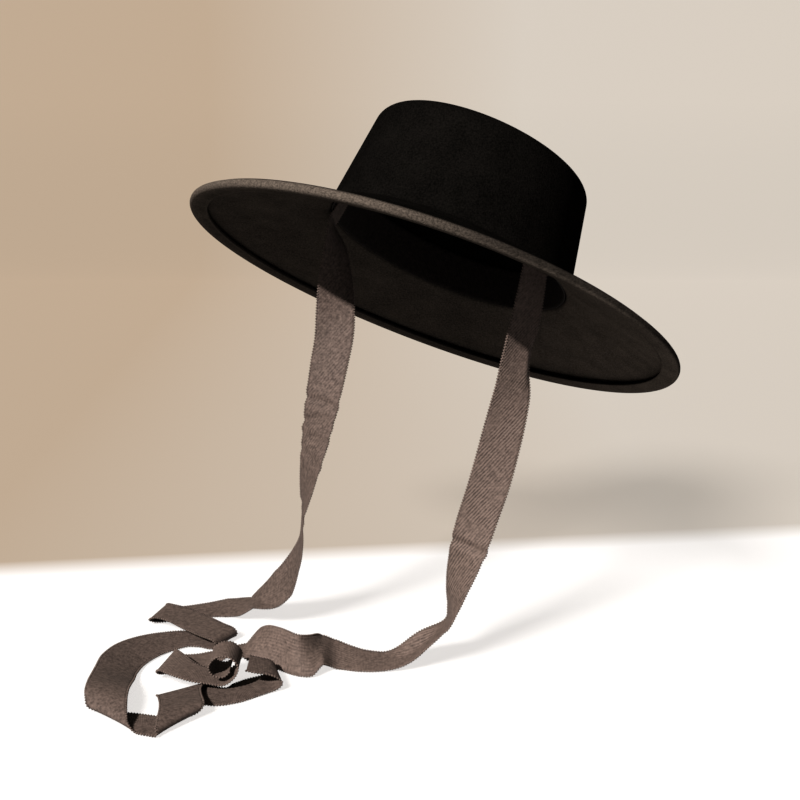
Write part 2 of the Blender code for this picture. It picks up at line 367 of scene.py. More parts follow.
# %% Helpers for colour and relief
def tone(tree, factor, dark, light, low=0.3, high=0.7):
    """A colour between two, by a factor that runs from low to high."""
    ramp = add_node(tree, "ShaderNodeValToRGB", [("Fac", factor)])
    ramp.color_ramp.elements[0].position = low
    ramp.color_ramp.elements[0].color = (*dark, 1)
    ramp.color_ramp.elements[1].position = high
    ramp.color_ramp.elements[1].color = (*light, 1)
    return ramp.outputs["Color"]


def blend(tree, factor, first, second):
    """The colour output of a Mix node."""
    mixed = add_node(tree, "ShaderNodeMix", [(0, factor), (6, first), (7, second)],
                     data_type="RGBA")
    return mixed.outputs[2]


def set_surface(tree, shader, colour, roughness, gloss):
    """Give the shader its colour, and the two numbers that are the same all over."""
    tree.links.new(colour, shader.inputs["Base Color"])
    shader.inputs["Roughness"].default_value = roughness
    shader.inputs["Specular IOR Level"].default_value = gloss


def set_relief(tree, shader, height, strength, distance):
    """Let a height roughen the surface."""
    bump = add_node(tree, "ShaderNodeBump", [
        ("Height", height), ("Strength", strength), ("Distance", distance)])
    tree.links.new(bump.outputs[0], shader.inputs["Normal"])


# %% [markdown]
# ## Felt
#
# Wool felt has no weave. What shows is a short nap of fibres that swallows nearly all light,
# so the crown is close to pure black. Hair could draw the nap, but its fibres are finer than
# a pixel, so noise stands for them: specks of about a millimetre, and clouds of one or two
# centimetres where the nap lies another way.
#
# At the fold of the rim the felt is painted paler and grainy: painted light, as where the
# sun strikes the fold, and less of it towards the right. The loft has stored how much
# painted light each row gets, and that attribute mixes the two colours here. Faces that
# look down along the hat's own axis get a greyer felt, which is painted light on the
# underside, paler towards the right.

# %% Felt finish
TOP_FELT = ((0.0009, 0.0008, 0.0007), (0.0034, 0.0029, 0.0025))     # dark and light tone
# Painted light: faces that look down get a paler felt, paler still towards the right.
UNDER_PAINTED_LIGHT_LEFT = ((0.0100, 0.0082, 0.0066), (0.0330, 0.0270, 0.0220))
UNDER_PAINTED_LIGHT_RIGHT = ((0.0230, 0.0188, 0.0152), (0.0700, 0.0570, 0.0470))
# Painted light: the fold of the rim gets a paler, grainy felt, as where the sun strikes it.
PAINTED_LIT_FELT = ((0.018, 0.0146, 0.0121), (0.060, 0.0485, 0.0400))
UNDER_PAINTED_LIGHT_ACROSS = (0.02, 0.16)      # where the left tone of the underside becomes the right
PAINTED_LIGHT_ACROSS = (-0.05, 0.03)    # where the painted light on the rim fades
PAINTED_LIGHT_RIGHT = 0.28              # and how much of it is left there
PAINTED_LIGHT_START = 0.08                # painted light below this doesn't show
PATCHINESS = 0.25                # how much the clouds break up the painted light
SPECK_SHARE = 0.75               # of the change of colour, against that of the clouds
SPECK_RELIEF = 1.6               # against that of the fibres


def make_felt_finish():
    finish, tree, shader = new_finish("black_felt")
    where = object_place(tree)
    across = parts_of(tree, where)[0]
    fibres = speckle(tree, where, scale=1400.0, detail=4.0, roughness=0.7)
    specks = speckle(tree, where, scale=820.0, roughness=0.7)
    clouds = speckle(tree, where, scale=45.0, detail=2.0)
    both = reckon(tree, "ADD", reckon(tree, "MULTIPLY", specks, SPECK_SHARE),
                  reckon(tree, "MULTIPLY", clouds, 1 - SPECK_SHARE))
    # Painted light on faces that look down, paler towards the right.
    under_painted_light = blend(tree, grade(tree, across, *UNDER_PAINTED_LIGHT_ACROSS),
                  tone(tree, both, *UNDER_PAINTED_LIGHT_LEFT, low=0.36, high=0.66),
                  tone(tree, both, *UNDER_PAINTED_LIGHT_RIGHT, low=0.36, high=0.66))
    under_light_mask = grade(tree, facing(tree, LEAN @ Vector((0, 0, 1))), start=-0.3, end=-0.75)
    felt = blend(tree, under_light_mask, tone(tree, both, *TOP_FELT, low=0.38, high=0.64), under_painted_light)
    # Painted light on the fold of the rim, as the loft stored it row by row.
    painted_rim_light = add_node(tree, "ShaderNodeAttribute", attribute_name="painted_rim_light").outputs["Fac"]
    patchy = reckon(tree, "MULTIPLY", reckon(tree, "SUBTRACT", clouds, 0.5), PATCHINESS)
    painted_light = reckon(tree, "MULTIPLY",
                  grade(tree, reckon(tree, "ADD", painted_rim_light, patchy), PAINTED_LIGHT_START, 1.0),
                  grade(tree, across, *PAINTED_LIGHT_ACROSS, low=1.0, high=PAINTED_LIGHT_RIGHT))
    fold_lit_felt = tone(tree, specks, *PAINTED_LIT_FELT, low=0.34, high=0.68)
    set_surface(tree, shader, blend(tree, painted_light, felt, fold_lit_felt), roughness=1.0, gloss=0.0)
    nap = reckon(tree, "ADD", fibres, reckon(tree, "MULTIPLY", specks, SPECK_RELIEF))
    set_relief(tree, shader, nap, strength=0.7, distance=0.0005)
    return finish


felt_finish = make_felt_finish()
print(felt_finish.name, len(felt_finish.node_tree.nodes), "nodes")


# %% [markdown]
# ## Crown, brim and hem
#
# The hat is blocked from one cone of felt, so it is one piece. It could be pulled out of a
# cylinder face by face, but in a profile every radius and slope stays a number. The profile
# runs from the middle of the flat top round the top edge, down the leaning side and round
# the root.

# %% Crown profile
TOP_SHARES = (0.0, 0.1, 0.25, 0.4, 0.55, 0.7, 0.82, 0.92)     # from the middle of the top
EDGE_STEPS = 10
SIDE_START, SIDE_STEP, SIDE_ROWS = 0.8, 0.1, 8                # shares of the height
ROOT_STEPS = 6


def polar(radius, degrees):
    """A point at this distance and angle."""
    return Vector((radius * math.cos(math.radians(degrees)),
                   radius * math.sin(math.radians(degrees))))


def wall_inset(height):
    """How far the crown's side has leaned in at this height."""
    return height * math.tan(math.radians(CROWN_TAPER))


def crown_rows():
    """Rows from the middle of the top to the crown's root."""
    lining = SWEATBAND_WALL + GAP + FELT / 2
    lean = math.radians(CROWN_TAPER)
    edge = TOP_EDGE_RADIUS - FELT / 2
    top = CROWN_HEIGHT - FELT / 2
    centre = Vector((lining - wall_inset(top - edge) - edge / math.cos(lean), top - edge))
    bend = [centre + polar(edge, 90 - (90 - CROWN_TAPER) * k / EDGE_STEPS)
            for k in range(EDGE_STEPS + 1)]
    rows = [(bend[0].x, 0, bend[0].y + TOP_RISE * (1 - s * s), s, 0) for s in TOP_SHARES]
    rows += [(p.x, 0, p.y, 1, 0) for p in bend]
    slope = math.atan(BRIM_DROP * (1 + BRIM_ARCH) / (BRIM_RADIUS - HEAD_WIDTH / 2))
    foot = ROOT_RADIUS * math.cos(slope) - FELT / 2
    rows += [(lining - wall_inset(h), 0, h, 1, 0)
             for h in (top * (SIDE_START - SIDE_STEP * k) for k in range(SIDE_ROWS))]
    middle = Vector((lining - wall_inset(foot) + ROOT_RADIUS / math.cos(lean), foot))
    sweep = 90 - CROWN_TAPER - math.degrees(slope)
    for k in range(ROOT_STEPS + 1):
        point = middle + polar(ROOT_RADIUS, 180 + CROWN_TAPER + sweep * k / ROOT_STEPS)
        rows.append((point.x, 0, point.y, 1, 0))
    return rows


upper_rows = crown_rows()
print("crown rows:", len(upper_rows))


# %% [markdown]
# From the root the profile runs out along the drooping brim. At the rim the felt turns under
# in a tight roll and runs a centimetre back as a hem, which lies close under the brim. Each
# row also says how much painted light it gets: the fold most, the brim's margin and the hem
# less.

# %% Brim profile
BRIM_STEPS = 36
# Painted light on the rim: the fold is painted palest, the brim's margin and the hem less.
MARGIN_START = 0.88      # share of the way to the rim from where the brim gets painted light
RIM_PAINTED_LIGHT = 0.60          # how much painted light it gets just inside the fold
FOLD_PAINTED_LIGHT = (1, 1, 1, 1, 1, 1, 1, 0.98, 0.92, 0.82, 0.70)
HEM_PAINTED_LIGHT = (0.55, 0.4, 0.28, 0.18, 0.1, 0.1, 0.30, 0.30)


def brim_rows(root):
    """Rows from the crown's root to the rim, round the fold and back along the hem."""
    fold = (RIM_DEPTH - FELT) / 2
    rim = -BRIM_DROP - FELT / 2
    rows = []
    for k in range(1, BRIM_STEPS - 1):     # one more would lie on the first row of the fold
        s = k / BRIM_STEPS
        fall = (1 + BRIM_ARCH) * s - BRIM_ARCH * s * s
        # painted light, growing towards the fold
        painted_light = RIM_PAINTED_LIGHT * max(0, (s - MARGIN_START) / (1 - MARGIN_START)) ** 1.5
        rows.append((root[0] * (1 - s), s, root[2] + (rim - root[2]) * fall, 1, painted_light))
    reach = BRIM_RADIUS - HEAD_WIDTH / 2
    slope = math.degrees(math.atan(BRIM_DROP * (1 - BRIM_ARCH) / reach))
    middle = Vector((-FELT / 2 - fold, rim - fold))
    turn = 180 - slope + HEM_SLOPE
    for k, painted_light in enumerate(FOLD_PAINTED_LIGHT):
        point = middle + polar(fold, 90 - slope - turn * k / (len(FOLD_PAINTED_LIGHT) - 1))
        rows.append((point.x, 1, point.y, 1, painted_light))
    step = (HEM_WIDTH + rows[-1][0]) / len(HEM_PAINTED_LIGHT)
    rise = step * math.tan(math.radians(HEM_SLOPE))
    for painted_light in HEM_PAINTED_LIGHT:
        rows.append((rows[-1][0] - step, 1, rows[-1][2] + rise, 1, painted_light))
    return rows


felt_rows = upper_rows + brim_rows(upper_rows[-1])
felt_body = loft("felt_body", felt_rows, FELT, felt_finish)
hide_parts("felt_crown_and_brim")

# %% [markdown]
# ## Sweatband
#
# A ribbed ribbon lines the head opening. It follows the same oval and the same lean as the
# crown's side, so the same loft makes it from a short straight profile. Its ribs run up and
# down. They are a wave on the angle round the hat's own axis, which needs the hat's frame:
# a Mapping node turns the coordinates back.

# %% Sweatband
# Painted shade: the band's tones are taken darker than the ties' ribbon, as the shade inside
# the crown.
BAND_PAINTED_SHADE_TONES = ((0.0030, 0.0022, 0.0019), (0.0085, 0.0064, 0.0056))
BAND_RIBS = 480          # round the whole head
BAND_STEPS = 12


def make_band_finish():
    finish, tree, shader = new_finish("black_band_ribbon")
    where = object_place(tree)
    straight = add_node(tree, "ShaderNodeMapping", [
        ("Vector", where), ("Rotation", tuple(LEAN.transposed().to_euler()))])
    across, deep, _ = parts_of(tree, straight.outputs[0])
    angle = reckon(tree, "ARCTAN2", deep, across)
    ribs = reckon(tree, "SINE", reckon(tree, "MULTIPLY", angle, BAND_RIBS))
    mottle = speckle(tree, where, scale=400.0)
    set_surface(tree, shader, tone(tree, mottle, *BAND_PAINTED_SHADE_TONES), roughness=0.85, gloss=0.05)
    set_relief(tree, shader, ribs, strength=0.5, distance=0.0003)
    return finish


band_rows = []
for k in range(BAND_STEPS + 1):
    height = SWEATBAND_HEIGHT * (1 - k / BAND_STEPS)
    band_rows.append((SWEATBAND_WALL / 2 - wall_inset(height), 0, height, 1, 0))
band = loft("sweatband_ribbon", band_rows, SWEATBAND_WALL, make_band_finish())
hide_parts("sweatband")

# %% [markdown]
# ## The ties
#
# A tie is a limp ribbon with two woven edges that can't stretch. It hangs from the sweatband
# and lies in folds. A cloth simulation would drop it in folds of its own choice, so the
# folds are given one by one: the ribbon is a strip of straight lines across its width. A row of
# the table places the middle of one such line and turns it. A smooth curve joins the middles.
#
# Side and depth are in hundredths of half the head's width and length, height in hundredths
# of the drop to the floor, and lift, the clearance under the lower edge, in hundredths of
# the ribbon's width. Heading is the line's direction seen from above and rise its tilt.

# %% Where the ties run
HANG, LIE = "hang", "lie"

# Kind, side, depth, height or lift, heading, rise
LEFT_TIE = (
    (HANG, 60, -67, -11, 42, -10), (HANG, 54, -72, -19, 40, 0), (HANG, 49, -81, -28, 28, 0),
    (HANG, 40, -89, -40, 6, 0), (HANG, 30, -93, -52, -6, 0), (HANG, 20, -94, -62, -20, 0),
    (HANG, 13, -94, -70, -34, 0), (HANG, 5, -93, -79, -61, 0), (HANG, 1, -92, -85, -80, 0),
    (HANG, -2, -92, -88.5, -90, 0), (LIE, -6, -92, 92, -92, 4), (LIE, -17, -92, 58, -92, 4),
    (LIE, -32, -92, 23, -92, 0), (LIE, -49, -93, 4, -90, -4), (LIE, -71, -93, 0, -90, -10),
    (LIE, -92, -89, 0, -88, -22), (LIE, -104, -95, 27, -86, -16),
    (LIE, -113, -105, 8, -84, -40), (LIE, -124, -107, 0, -86, -64),
    (LIE, -138, -97, 0, -96, -66), (LIE, -149, -89, 0, -106, -60),
    (LIE, -160, -80, 4, -108, -36), (LIE, -172, -75, 8, -100, 10), (LIE, -187, -82, 4, -92, 4),
    (LIE, -202, -88, 0, -90, 0), (LIE, -216, -92, 0, -96, 0), (LIE, -226, -96, 4, -100, 0),
    (LIE, -230, -102, 19, -100, 0), (LIE, -226, -109, 33, -102, 0),
    (LIE, -216, -119, 33, -102, 0), (LIE, -204, -126, 27, -94, 0),
    (LIE, -190, -127, 19, -90, 0), (LIE, -179, -127, 15, -90, 0), (LIE, -170, -127, 35, -90, 0),
    (LIE, -167, -127, 65, -90, 0), (LIE, -174, -127, 88, -90, 0), (LIE, -184, -126, 85, -90, 0),
    (LIE, -190, -126, 62, -90, 0), (LIE, -187, -125, 38, -90, 0), (LIE, -179, -125, 33, -90, 0),
    (LIE, -174, -125, 46, -90, 0),
)
RIGHT_TIE = (
    (HANG, -95, 2, 3, 60, -15), (HANG, -95, -3, -5, 34, -4), (HANG, -95, -8, -12, 14, 0),
    (HANG, -96, -14, -20, -6, 0), (HANG, -100, -20, -27, -14, 0),
    (HANG, -106, -27, -37, -30, 0), (HANG, -112, -32, -47, -46, 0),
    (HANG, -116, -35, -53, -57, 0), (HANG, -120, -35, -60, -70, 0),
    (HANG, -123, -34, -67, -87, 0), (HANG, -125, -29, -75, -84, -4),
    (HANG, -131, -24, -81, -77, -14), (HANG, -142, -17, -88, -61, -20),
    (LIE, -157, -8, 58, -64, -4), (LIE, -171, 0, 31, -84, 8), (LIE, -183, 8, 12, -88, -4),
    (LIE, -195, 12, 0, -86, -8), (LIE, -212, 11, 0, -82, -2), (LIE, -232, 6, 0, -88, 0),
    (LIE, -248, 1, 2, -100, 0), (LIE, -254, -2, 13, -104, 0), (LIE, -248, -8, 25, -104, 0),
    (LIE, -232, -18, 27, -122, 0), (LIE, -215, -34, 27, -132, 0), (LIE, -201, -47, 27, -124, 0),
    (LIE, -190, -55, 25, -118, 0), (LIE, -187, -57, 13, -118, 0), (LIE, -191, -55, 2, -118, 0),
    (LIE, -205, -50, 2, -104, 0), (LIE, -220, -49, 2, -88, -2), (LIE, -235, -56, 2, -68, -6),
    (LIE, -250, -69, 2, -48, -12), (LIE, -261, -87, 2, -28, -18),
    (LIE, -266, -107, 4, -14, -20), (LIE, -266, -126, 12, -10, -15),
    (LIE, -265, -143, 28, -10, -9), (LIE, -264, -158, 40, -16, -5),
    (LIE, -263, -171, 40, -24, -2), (LIE, -261, -181, 29, -33, 0),
    (LIE, -259, -186, 16, -39, 0), (LIE, -254, -188, 6, -46, 0), (LIE, -245, -189, 0, -60, 0),
    (LIE, -236, -191, 0, -75, 0), (LIE, -225, -194, 0, -92, 0), (LIE, -214, -197, 1, -110, 0),
    (LIE, -207, -197, 9, -124, 0), (LIE, -204, -193, 22, -133, 0),
    (LIE, -204, -184, 30, -146, 0), (LIE, -206, -172, 25, -160, 0),
    (LIE, -209, -160, 19, -162, 0), (LIE, -211, -151, 16, -152, 0),
    (LIE, -211, -144, 11, -142, 0), (LIE, -206, -142, 3, -139, 0),
    (LIE, -194, -145, 0, -123, 0), (LIE, -180, -149, 0, -102, 0), (LIE, -168, -143, 0, -78, 0),
    (LIE, -155, -133, 0, -60, 0), (LIE, -143, -127, 4, -68, 0), (LIE, -137, -124, 19, -76, 0),
    (LIE, -143, -123, 35, -82, 0), (LIE, -154, -123, 42, -88, 0), (LIE, -161, -122, 46, -90, 0),
)
print("rows:", len(LEFT_TIE), "left and", len(RIGHT_TIE), "right")


# %% [markdown]
# A line that stands askew to the ribbon's run is drawn longer, so that the ribbon keeps its
# width. Cloth can't widen and narrow within a few millimetres, so that length is evened out
# over the lines to either side.

# %% From rows to straight lines across the ribbon
ROW_STEPS = 10           # lines from one row to the next
SLANT_REACH = 8          # lines to either side over which their length is evened out


def sewn_end(side):
    """Middle and direction of a tie's lines down the sweatband. Side is 1 for the left tie."""
    lines = []
    half_turn = math.degrees(RIBBON_WIDTH / (HEAD_WIDTH + HEAD_LENGTH) * 2)
    middle = -TIE_ANGLE if side > 0 else 180 + TIE_ANGLE
    for height in (TIE_SEAT, 0, -TIE_SEAT / 3):
        reach = -wall_inset(height) - GAP - RIBBON_WALL / 2
        ends = []
        for angle in (middle - half_turn * side, middle + half_turn * side):
            ends.append(LEAN @ Vector((
                (HEAD_WIDTH / 2 + reach) * math.cos(math.radians(angle)),
                (HEAD_LENGTH / 2 + reach) * math.sin(math.radians(angle)), height)))
        lines.append(((ends[0] + ends[1]) / 2, (ends[1] - ends[0]).normalized()))
    return lines


def row_line(row):
    """Middle and direction of the line that a row of a table gives."""
    kind, side, depth, height, heading, rise = row
    heading, rise = math.radians(heading), math.radians(rise)
    across = Vector((math.cos(rise) * math.cos(heading),
                     math.cos(rise) * math.sin(heading), math.sin(rise)))
    middle = Vector((side / 100 * HEAD_WIDTH / 2, depth / 100 * HEAD_LENGTH / 2, 0))
    if kind == HANG:
        middle.z = height / 100 * DROP
    else:
        middle.z = (RIBBON_WALL / 2 + GAP - DROP + height / 100 * RIBBON_WIDTH
                    + abs(across.z) * RIBBON_WIDTH / 2)
    return middle, across


# %% Join the lines smoothly
def smooth_between(a, b, c, d, t):
    """The point between b and c on a smooth curve through all four."""
    return 0.5 * (2 * b + (c - a) * t + (2 * a - 5 * b + 4 * c - d) * t * t
                  + (3 * b - a - 3 * c + d) * t ** 3)


def run_at(middles, i):
    """The ribbon's run at this line, from the line before to the next."""
    return middles[min(i + 1, len(middles) - 1)] - middles[max(i - 1, 0)]


def tie_lines(rows, side):
    """Pairs of a line's middle and its half width, from the sewn end to the free end."""
    rough = sewn_end(side) + [row_line(row) for row in rows]
    middles, across = [], []
    last = len(rough) - 1
    for i in range(last):
        near = [rough[min(max(k, 0), last)][0] for k in range(i - 1, i + 3)]
        for k in range(ROW_STEPS):
            middles.append(smooth_between(*near, k / ROW_STEPS))
            across.append(rough[i][1].slerp(rough[i + 1][1], k / ROW_STEPS))
    middles.append(rough[last][0])
    across.append(rough[last][1])
    slants = [max(width.cross(run_at(middles, i).normalized()).length, LEAST_SLANT)
              for i, width in enumerate(across)]
    lines = []
    for i, (middle, width) in enumerate(zip(middles, across)):
        near = slants[max(i - SLANT_REACH, 0):i + SLANT_REACH + 1]
        lines.append((middle, width * (RIBBON_WIDTH / 2 / (sum(near) / len(near)))))
    return lines


# %% [markdown]
# ## The ribbon's surface
#
# The strip gets a few columns of faces across, and a UV map whose numbers are metres: the
# first runs across the ribbon and the second along it. The weave is drawn from that map, so
# it follows every fold. Solidify then gives the strip its thickness.
#
# Two small forms are added to the plain strip. A crease is a ripple across the ribbon. A curl
# turns one margin round a line along the ribbon, so the margin keeps its width.

# %% Make a ribbon
RIBBON_COLUMNS = 16
CREASE_DEPTH = 0.0007
CREASE_WIDTH = 0.004


def curl_angle(curls, length, u):
    """Angle of the margin at this length, and the line it turns round, as a share u."""
    for side, start, end, line, degrees in curls:
        if start < length < end and u * side > line:
            swell = math.sin(math.pi * (length - start) / (end - start)) ** 2
            return math.radians(degrees) * swell, line * side
    return 0.0, u


def crease_height(creases, length, u):
    """How far the creases lift this point off the plain strip."""
    height = 0.0
    for place, depth, tilt in creases:
        t = (length - place - tilt * u * RIBBON_WIDTH / 2) / CREASE_WIDTH
        height += depth * CREASE_DEPTH * math.exp(-t * t) * (1 - 2 * t * t)
    return height


def ribbon_mesh(name, lines, creases, curls):
    """A strip with a UV map in metres. Creases are (length along, depth, tilt) and curls
    (side, start, end, line, degrees)."""
    middles = [middle for middle, _ in lines]
    lengths = [0.0]
    for a, b in zip(middles, middles[1:]):
        lengths.append(lengths[-1] + (b - a).length)
    points, faces = [], []
    for i, (middle, half) in enumerate(lines):
        out = half.cross(run_at(middles, i)).normalized()
        for k in range(RIBBON_COLUMNS + 1):
            u = k / RIBBON_COLUMNS * 2 - 1
            turn, line = curl_angle(curls, lengths[i], u)
            margin = (u - line) * half.length
            lift = abs(margin) * math.sin(turn) + crease_height(creases, lengths[i], u)
            points.append(middle + half * line
                          + half.normalized() * margin * math.cos(turn) + out * lift)
    wide = RIBBON_COLUMNS + 1
    for i in range(len(lines) - 1):
        for a in range(i * wide, i * wide + RIBBON_COLUMNS):
            faces.append((a, a + 1, a + wide + 1, a + wide))
    mesh = bpy.data.meshes.new(name)
    mesh.from_pydata([tuple(p) for p in points], [], faces)
    weave = mesh.uv_layers.new(name="weave")
    for loop in mesh.loops:
        i, k = divmod(loop.vertex_index, wide)
        weave.data[loop.index].uv = (k / RIBBON_COLUMNS * RIBBON_WIDTH, lengths[i])
    mesh.shade_smooth()
    return mesh, lengths[-1]


# %% [markdown]
# ## Ribbon finish
#
# The ribbon is a ribbed weave: fine cords cross it from edge to edge, and a diagonal runs
# over them. It is black, but thin and a little worn, so it shows brown where light falls on
# it. The waves for the cords and for the diagonal both read the UV map.
#
# The cloth has been pulled askew, so the diagonal stands steeper further down the tie. With
# u across and v along the ribbon, the wave's phase is cos(a) (u + c), where the angle a falls
# evenly with v. Its slope along v is then close to sin(a), so the lines stay evenly spaced
# while they turn. In places they fade, which a large soft noise does, and they are faint at
# the sewn end and where the tie lies on the floor.

# %% Ribbon finish
RIBBON_TONES = ((0.019, 0.0130, 0.0105), (0.062, 0.0447, 0.0373))
RIB_PITCH = 0.00105
RIB_RELIEF = 0.4
TWILL_PITCH = 0.00205
TWILL_RELIEF = 4.0
TWILL_START = 0.882              # radians between diagonal and ribbon at the sewn end
TWILL_TURN = 2.2                 # radians it turns in a metre
TWILL_WOBBLE = 0.0011            # metres its lines stray
TWILL_BEGINS = (0.04, 0.075)     # metres along the tie over which it comes up
TWILL_SETTLES = (0.24, 0.33)     # and over which it grows faint again
TWILL_FAINT = 0.2                # what is left of it where it fades
TWILL_LYING = 0.35               # and on the floor


def make_ribbon_finish(name, contrast, depth):
    """Contrast is how strong the diagonal is, depth painted shade that darkens the whole
    ribbon.
    """
    finish, tree, shader = new_finish(name)
    chart = add_node(tree, "ShaderNodeUVMap", uv_map="weave").outputs[0]
    across, along, _ = parts_of(tree, chart)
    ribs = reckon(tree, "SINE", reckon(tree, "MULTIPLY", along, math.tau / RIB_PITCH))
    angle = reckon(tree, "SUBTRACT", TWILL_START,
                   reckon(tree, "MULTIPLY", along, TWILL_TURN))
    phase = reckon(tree, "MULTIPLY", reckon(tree, "COSINE", angle),
                   reckon(tree, "ADD", across, 1 / TWILL_TURN))
    wobble = speckle(tree, chart, scale=160.0, detail=2.0)
    phase = reckon(tree, "ADD", phase, reckon(tree, "MULTIPLY", wobble, TWILL_WOBBLE))
    twill = reckon(tree, "SINE", reckon(tree, "MULTIPLY", phase, math.tau / TWILL_PITCH))
    patches = speckle(tree, chart, scale=45.0, detail=2.0)
    for share in (grade(tree, patches, 0.38, 0.58, low=TWILL_FAINT),
                  grade(tree, along, *TWILL_SETTLES, low=1.0, high=TWILL_LYING),
                  grade(tree, along, *TWILL_BEGINS, low=TWILL_FAINT)):
        twill = reckon(tree, "MULTIPLY", twill, share)
    mottle = speckle(tree, object_place(tree), scale=420.0, roughness=0.7)
    # Depth takes the whole ribbon darker, as painted shade.
    shade = reckon(tree, "ADD", reckon(tree, "MULTIPLY", twill, contrast),
                   reckon(tree, "SUBTRACT", mottle, depth))
    colour = tone(tree, shade, *RIBBON_TONES, low=0.26, high=0.74)
    set_surface(tree, shader, colour, roughness=0.8, gloss=0.15)
    relief = reckon(tree, "ADD", reckon(tree, "MULTIPLY", ribs, RIB_RELIEF),
                    reckon(tree, "MULTIPLY", twill, contrast * TWILL_RELIEF))
    set_relief(tree, shader, relief, strength=0.45, distance=0.00022)
    return finish


# %% [markdown]
# ## Woven edges
#
# Each cord of the weave turns back at the ribbon's edge and leaves a tiny loop there, so the
# edge is toothed. The loops repeat along a path, which is work for Geometry Nodes: the tree
# takes the edge as a line, sets points along it, nearly two cords apart, and puts a small
# bead of thread on each.

# %% The edge loops' tree
LOOP_PITCH = RIB_PITCH * 1.8
LOOP_SIZE = 0.0011
LOOP_FORM = (0.8, 0.8, 0.7)


def make_loop_tree():
    tree, given, result = new_group("edge_loops", [
        ("Pitch", "NodeSocketFloat"), ("Loop size", "NodeSocketFloat"),
        ("Finish", "NodeSocketMaterial")])
    line = add_node(tree, "GeometryNodeMeshToCurve", [("Mesh", given["Geometry"])])
    spaced = add_node(tree, "GeometryNodeCurveToPoints",
                      [("Curve", line.outputs[0]), ("Length", given["Pitch"])], mode="LENGTH")
    bead = add_node(tree, "GeometryNodeMeshIcoSphere",
                    [("Radius", given["Loop size"]), ("Subdivisions", 1)])
    placed = add_node(tree, "GeometryNodeInstanceOnPoints", [
        ("Points", spaced.outputs["Points"]), ("Instance", bead.outputs["Mesh"]),
        ("Rotation", spaced.outputs["Rotation"]), ("Scale", LOOP_FORM)])
    loops = pass_on(tree, placed.outputs[0], [
        ("GeometryNodeRealizeInstances", []),
        ("GeometryNodeSetShadeSmooth", []),
        ("GeometryNodeSetMaterial", [("Material", given["Finish"])])])
    tree.links.new(loops, result["Geometry"])
    return tree


loop_tree = make_loop_tree()
print("loop inputs:", [item.name for item in loop_tree.interface.items_tree][1:])


# %% Add the loops to a ribbon
def add_edge_loops(name, strip, finish):
    """Loops of thread along both edges of a ribbon, as one piece. The edges are the first
    and the last column of the strip's points."""
    spots = [tuple(v.co) for v in strip.vertices]
    points, edges = [], []
    for column in (0, RIBBON_COLUMNS):
        start = len(points)
        points += spots[column::RIBBON_COLUMNS + 1]
        edges += [(k, k + 1) for k in range(start, len(points) - 1)]
    mesh = bpy.data.meshes.new(name + "_line")
    mesh.from_pydata(points, edges, [])
    thing = link(bpy.data.objects.new(name + "_line", mesh))
    use_group(thing, loop_tree, {"Pitch": LOOP_PITCH, "Loop size": LOOP_SIZE,
                                 "Finish": finish})
    piece = bake(thing, name)
    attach(piece, "root")
    print(name, len(piece.data.polygons), "faces")
    return piece


# %% [markdown]
# Both ties are made in the same way. What differs is where they run, how strongly their
# diagonal shows, how dark they are, which is painted light and shade, and their creases and
# curls.

# %% Both ties
RIBBON_THICKNESS = 0.0006
LEFT_WEAVE_AND_SHADE = (0.22, -0.03)       # contrast and depth, painted light and shade
LEFT_CREASES = [(0.208, 2.4, 0.25)]
LEFT_CURLS = [(1, 0.060, 0.112, 0.65, 42), (-1, 0.262, 0.318, 0.2, -45)]
RIGHT_WEAVE_AND_SHADE = (0.08, 0.06)
RIGHT_CREASES = [(0.147, 2.6, 0.2), (0.158, 1.7, -0.25), (0.167, -1.2, 0.1),
                 (0.186, 0.9, 0.35), (0.225, 1.0, 0.3)]


def add_tie(node, name, rows, side, weave, creases, curls):
    """A ribbon with its edge loops, in place of the node of the same tie."""
    finish = make_ribbon_finish(name + "_weave", *weave)
    lines = tie_lines(rows, side)
    mesh, length = ribbon_mesh(name, lines, creases, curls)
    mesh.materials.append(finish)
    thing = link(bpy.data.objects.new(name + "_strip", mesh))
    solid = thing.modifiers.new("wall", "SOLIDIFY")
    solid.thickness = RIBBON_THICKNESS
    solid.offset = 0
    piece = bake(thing, name)
    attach(piece, "root")
    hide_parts(node)
    loops = add_edge_loops(name + "_edge_loops", mesh, finish)
    print(name, "is", round(length * 1000), "mm long")


add_tie("left_tie", "left_ribbon", LEFT_TIE, 1, LEFT_WEAVE_AND_SHADE, LEFT_CREASES, LEFT_CURLS)
add_tie("right_tie", "right_ribbon", RIGHT_TIE, -1, RIGHT_WEAVE_AND_SHADE, RIGHT_CREASES, [])

# %% [markdown]
# ## Floor, backdrop and light
#
# The ties lie on a pale floor, which bends up behind as in a studio. Its pale part ends
# behind the hat in a soft slanting line. From there on, floor and wall are a warmer and
# darker grey, partly their own tone and partly painted shade, which is deeper on the left.
# Where they face the light more, their tone is taken down by as much, so the bend far
# behind doesn't show as a band.

# %% Floor finish
SUN_SIDE = 32.0          # degrees from the camera's side towards the left
SUN_HEIGHT = 37.0
FLOOR_TONE = (0.296, 0.293, 0.295)
# Painted shade: the wall's warm grey is taken darker, more so on the left.
WALL_LEFT_TONE_AND_SHADE = (0.139, 0.113, 0.088)
WALL_RIGHT_TONE_AND_SHADE = (0.170, 0.159, 0.146)
WALL_SHADE_ACROSS = (-0.4, 0.2)
FLOOR_EDGE = 0.162       # where the pale floor ends, at the middle of the picture
EDGE_SLANT = 0.16
EDGE_SOFTNESS = 0.02


def sun_direction():
    """From the hat towards the sun."""
    side, height = math.radians(SUN_SIDE), math.radians(SUN_HEIGHT)
    return (-math.cos(height) * math.sin(side), -math.cos(height) * math.cos(side),
            math.sin(height))


